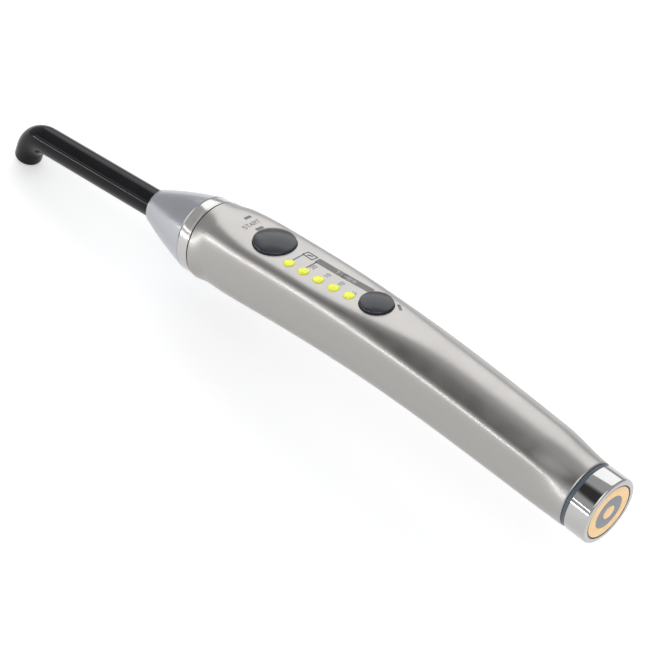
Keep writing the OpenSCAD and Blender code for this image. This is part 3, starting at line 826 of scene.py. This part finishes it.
def marks():
    """All the marks; every point is (x, y) on the panel as seen from above."""
    print_mark("mark_bars", [
        ([(158.3, -1.9), (158.2, -3.9)], 1.2), ([(151.6, -0.7), (151.4, -2.9)], 1.3),
        ([(93.1, -4.9), (90.9, -3.5)], 1.0)], BAR_INK)
    print_mark("mark_start_word", lettering("START", 153.9, 2.2, 1.7, 1.05, 0.42, 0.22), PALE_INK)
    print_mark("mark_link_1", [
        ([(131.9, 2.7), (131.9, -2.2)], 0.4),
        ([(132.2, -2.2), (131.8, -4.3), (127.7, -4.3), (128.1, -2.0), (132.2, -2.2)], 0.4)])
    print_mark("mark_icon", [([(130.9, -2.9), (129.2, -3.6)], 0.5)])
    print_mark("mark_link_2", [([(126.1, 2.3), (126.1, -2.2)], 0.4)])
    print_mark("mark_timer_bar", [([(126.1, -3.2), (115.0, -3.5), (104.2, -3.9)], 2.6)], BAR_INK)
    print_mark("mark_timer_word", timer_word(), LIGHT_INK, 2 * INK_TOP)
    for word, x in (("20", 124.1), ("15", 118.0), ("10", 112.0), ("5", 105.8)):
        print_mark("mark_number_" + word, lettering(word, x, 1.4, 1.45, 0.85, 0.35, 0.2), PALE_INK)


# ---------------------------------------------------------------- studio
# From here on lengths are in metres.

CENTRE = (Vector(CAD_BOX[0]) + Vector(CAD_BOX[1])) / 2
FLOOR_GAP = 0.0008
FLOOR_Z = CAD_BOX[0][2] - FLOOR_GAP
CAMERA_AT = (-0.232588, 0.431910, 0.457134)
CAMERA_AXES = ((-0.69878, -0.70383, 0.12778), (0.52855, -0.38765, 0.75523),
               (-0.48202, 0.59527, 0.64289))     # right, up and back, as rows
LENS_MM, SENSOR_MM, CLIP_START = 126.458, 36.0, 0.01
FLOOR_HALF, FLOOR_CELLS = 2.2, 12
# The studio's surroundings are pale, with one dark part that the shoulder facets mirror.
SKY_COLOUR = (0.97, 0.98, 1.0, 1)
SKY_LEVEL, DARK_LEVEL = 0.60, 0.06
DARK_TOWARD, DARK_INNER, DARK_OUTER = (0.19, 0.51, 0.84), 11, 26     # degrees off that way
DARK_SQUEEZE = (0.75, 1.0, 1.0)          # below 1, the dark part is longer that way
SOFTBOXES = (
    # name, direction from the object, distance, width, height, radiance
    ("panel_light", (0.48, -0.62, 0.62), 1.3, 1.1, 1.3, 1.35),
    ("camera_light", (-0.5, 0.45, 0.9), 1.6, 1.5, 1.5, 1.3),
    ("ridge_strip", (0.48, 0.86, 0.05), 1.2, 0.05, 1.6, 14.0),
    ("upper_strip", (0.47, 0.85, 0.27), 1.2, 0.035, 1.6, 6.0),
)


def camera():
    """The camera that was fitted to the photo."""
    data = bpy.data.cameras.new("camera")
    data.sensor_width, data.lens, data.clip_start = SENSOR_MM, LENS_MM, CLIP_START
    view = bpy.data.objects.new("camera", data)
    bpy.context.scene.collection.objects.link(view)
    turn = Matrix(CAMERA_AXES).transposed().to_4x4()
    view.matrix_world = Matrix.Translation(CAMERA_AT) @ turn
    bpy.context.scene.camera = view


def floor():
    """The white sheet that the object lies on."""
    grid = bmesh.new()
    bmesh.ops.create_grid(grid, x_segments=FLOOR_CELLS, y_segments=FLOOR_CELLS, size=FLOOR_HALF)
    mesh = bpy.data.meshes.new("floor")
    grid.to_mesh(mesh)
    grid.free()
    mesh.transform(Matrix.Translation((CENTRE.x, CENTRE.y, FLOOR_Z)))
    plane = bpy.data.objects.new("floor", mesh)
    bpy.context.scene.collection.objects.link(plane)
    paper = Shader("floor_paper", (0.9, 0.9, 0.9), 0.0, 0.7)
    paper.tint(paper.noise(0.01, 3), 0.995, 1.005)
    paper.set("Specular IOR Level", 0.1)
    paper.set("Emission Color", (1.0, 1.0, 1.0, 1)).set("Emission Strength", 0.3)
    mesh.materials.append(paper.material)


def softbox(name, toward, distance, width, height, radiance):
    """A rectangular light that faces the object; its brightness is given per unit of face."""
    data = bpy.data.lights.new(name, "AREA")
    data.shape, data.size, data.size_y = "RECTANGLE", width, height
    data.energy = radiance * math.pi * width * height
    lamp = bpy.data.objects.new(name, data)
    bpy.context.scene.collection.objects.link(lamp)
    direction = Vector(toward).normalized()
    lamp.location = CENTRE + direction * distance
    lamp.rotation_euler = direction.to_track_quat("Z", "X").to_euler()


def studio():
    """Surroundings, lights, floor and the way brightness becomes colour."""
    world = bpy.data.worlds.new("studio")
    bpy.context.scene.world = world
    world.use_nodes = True
    tree = world.node_tree
    sky = tree.nodes["Background"]
    place = tree.nodes.new("ShaderNodeTexCoord").outputs["Generated"]
    squeeze, unit, toward = (tree.nodes.new("ShaderNodeVectorMath") for _ in range(3))
    squeeze.operation, unit.operation, toward.operation = "MULTIPLY", "NORMALIZE", "DOT_PRODUCT"
    squeeze.inputs[1].default_value = DARK_SQUEEZE
    toward.inputs[1].default_value = Vector(DARK_TOWARD).normalized()
    shade = tree.nodes.new("ShaderNodeMapRange")
    shade.interpolation_type = "SMOOTHSTEP"
    for socket, value in (("From Min", math.cos(math.radians(DARK_OUTER))),
                          ("From Max", math.cos(math.radians(DARK_INNER))),
                          ("To Min", SKY_LEVEL), ("To Max", DARK_LEVEL)):
        shade.inputs[socket].default_value = value
    for source, target in ((place, squeeze.inputs[0]),
                           (squeeze.outputs["Vector"], unit.inputs[0]),
                           (unit.outputs["Vector"], toward.inputs[0]),
                           (toward.outputs["Value"], shade.inputs["Value"]),
                           (shade.outputs["Result"], sky.inputs["Strength"])):
        tree.links.new(source, target)
    sky.inputs["Color"].default_value = SKY_COLOUR
    for light in SOFTBOXES:
        softbox(*light)
    floor()
    view = bpy.context.scene.view_settings
    view.view_transform, view.look, view.exposure, view.gamma = "Standard", "None", 0, 1


# ---------------------------------------------------------------- build

camera()
studio()
dress_kept_nodes()
housing()
key("start_key_dome", "start_button", "start_key", START_U, START_R, START_DOME, START_TILT)
key("time_key_dome", "time_button", "time_key", TIME_U, TIME_R, TIME_DOME)
indicators()
nose_rings()
guide_cone()
guide_jacket()
battery_end()
marks()
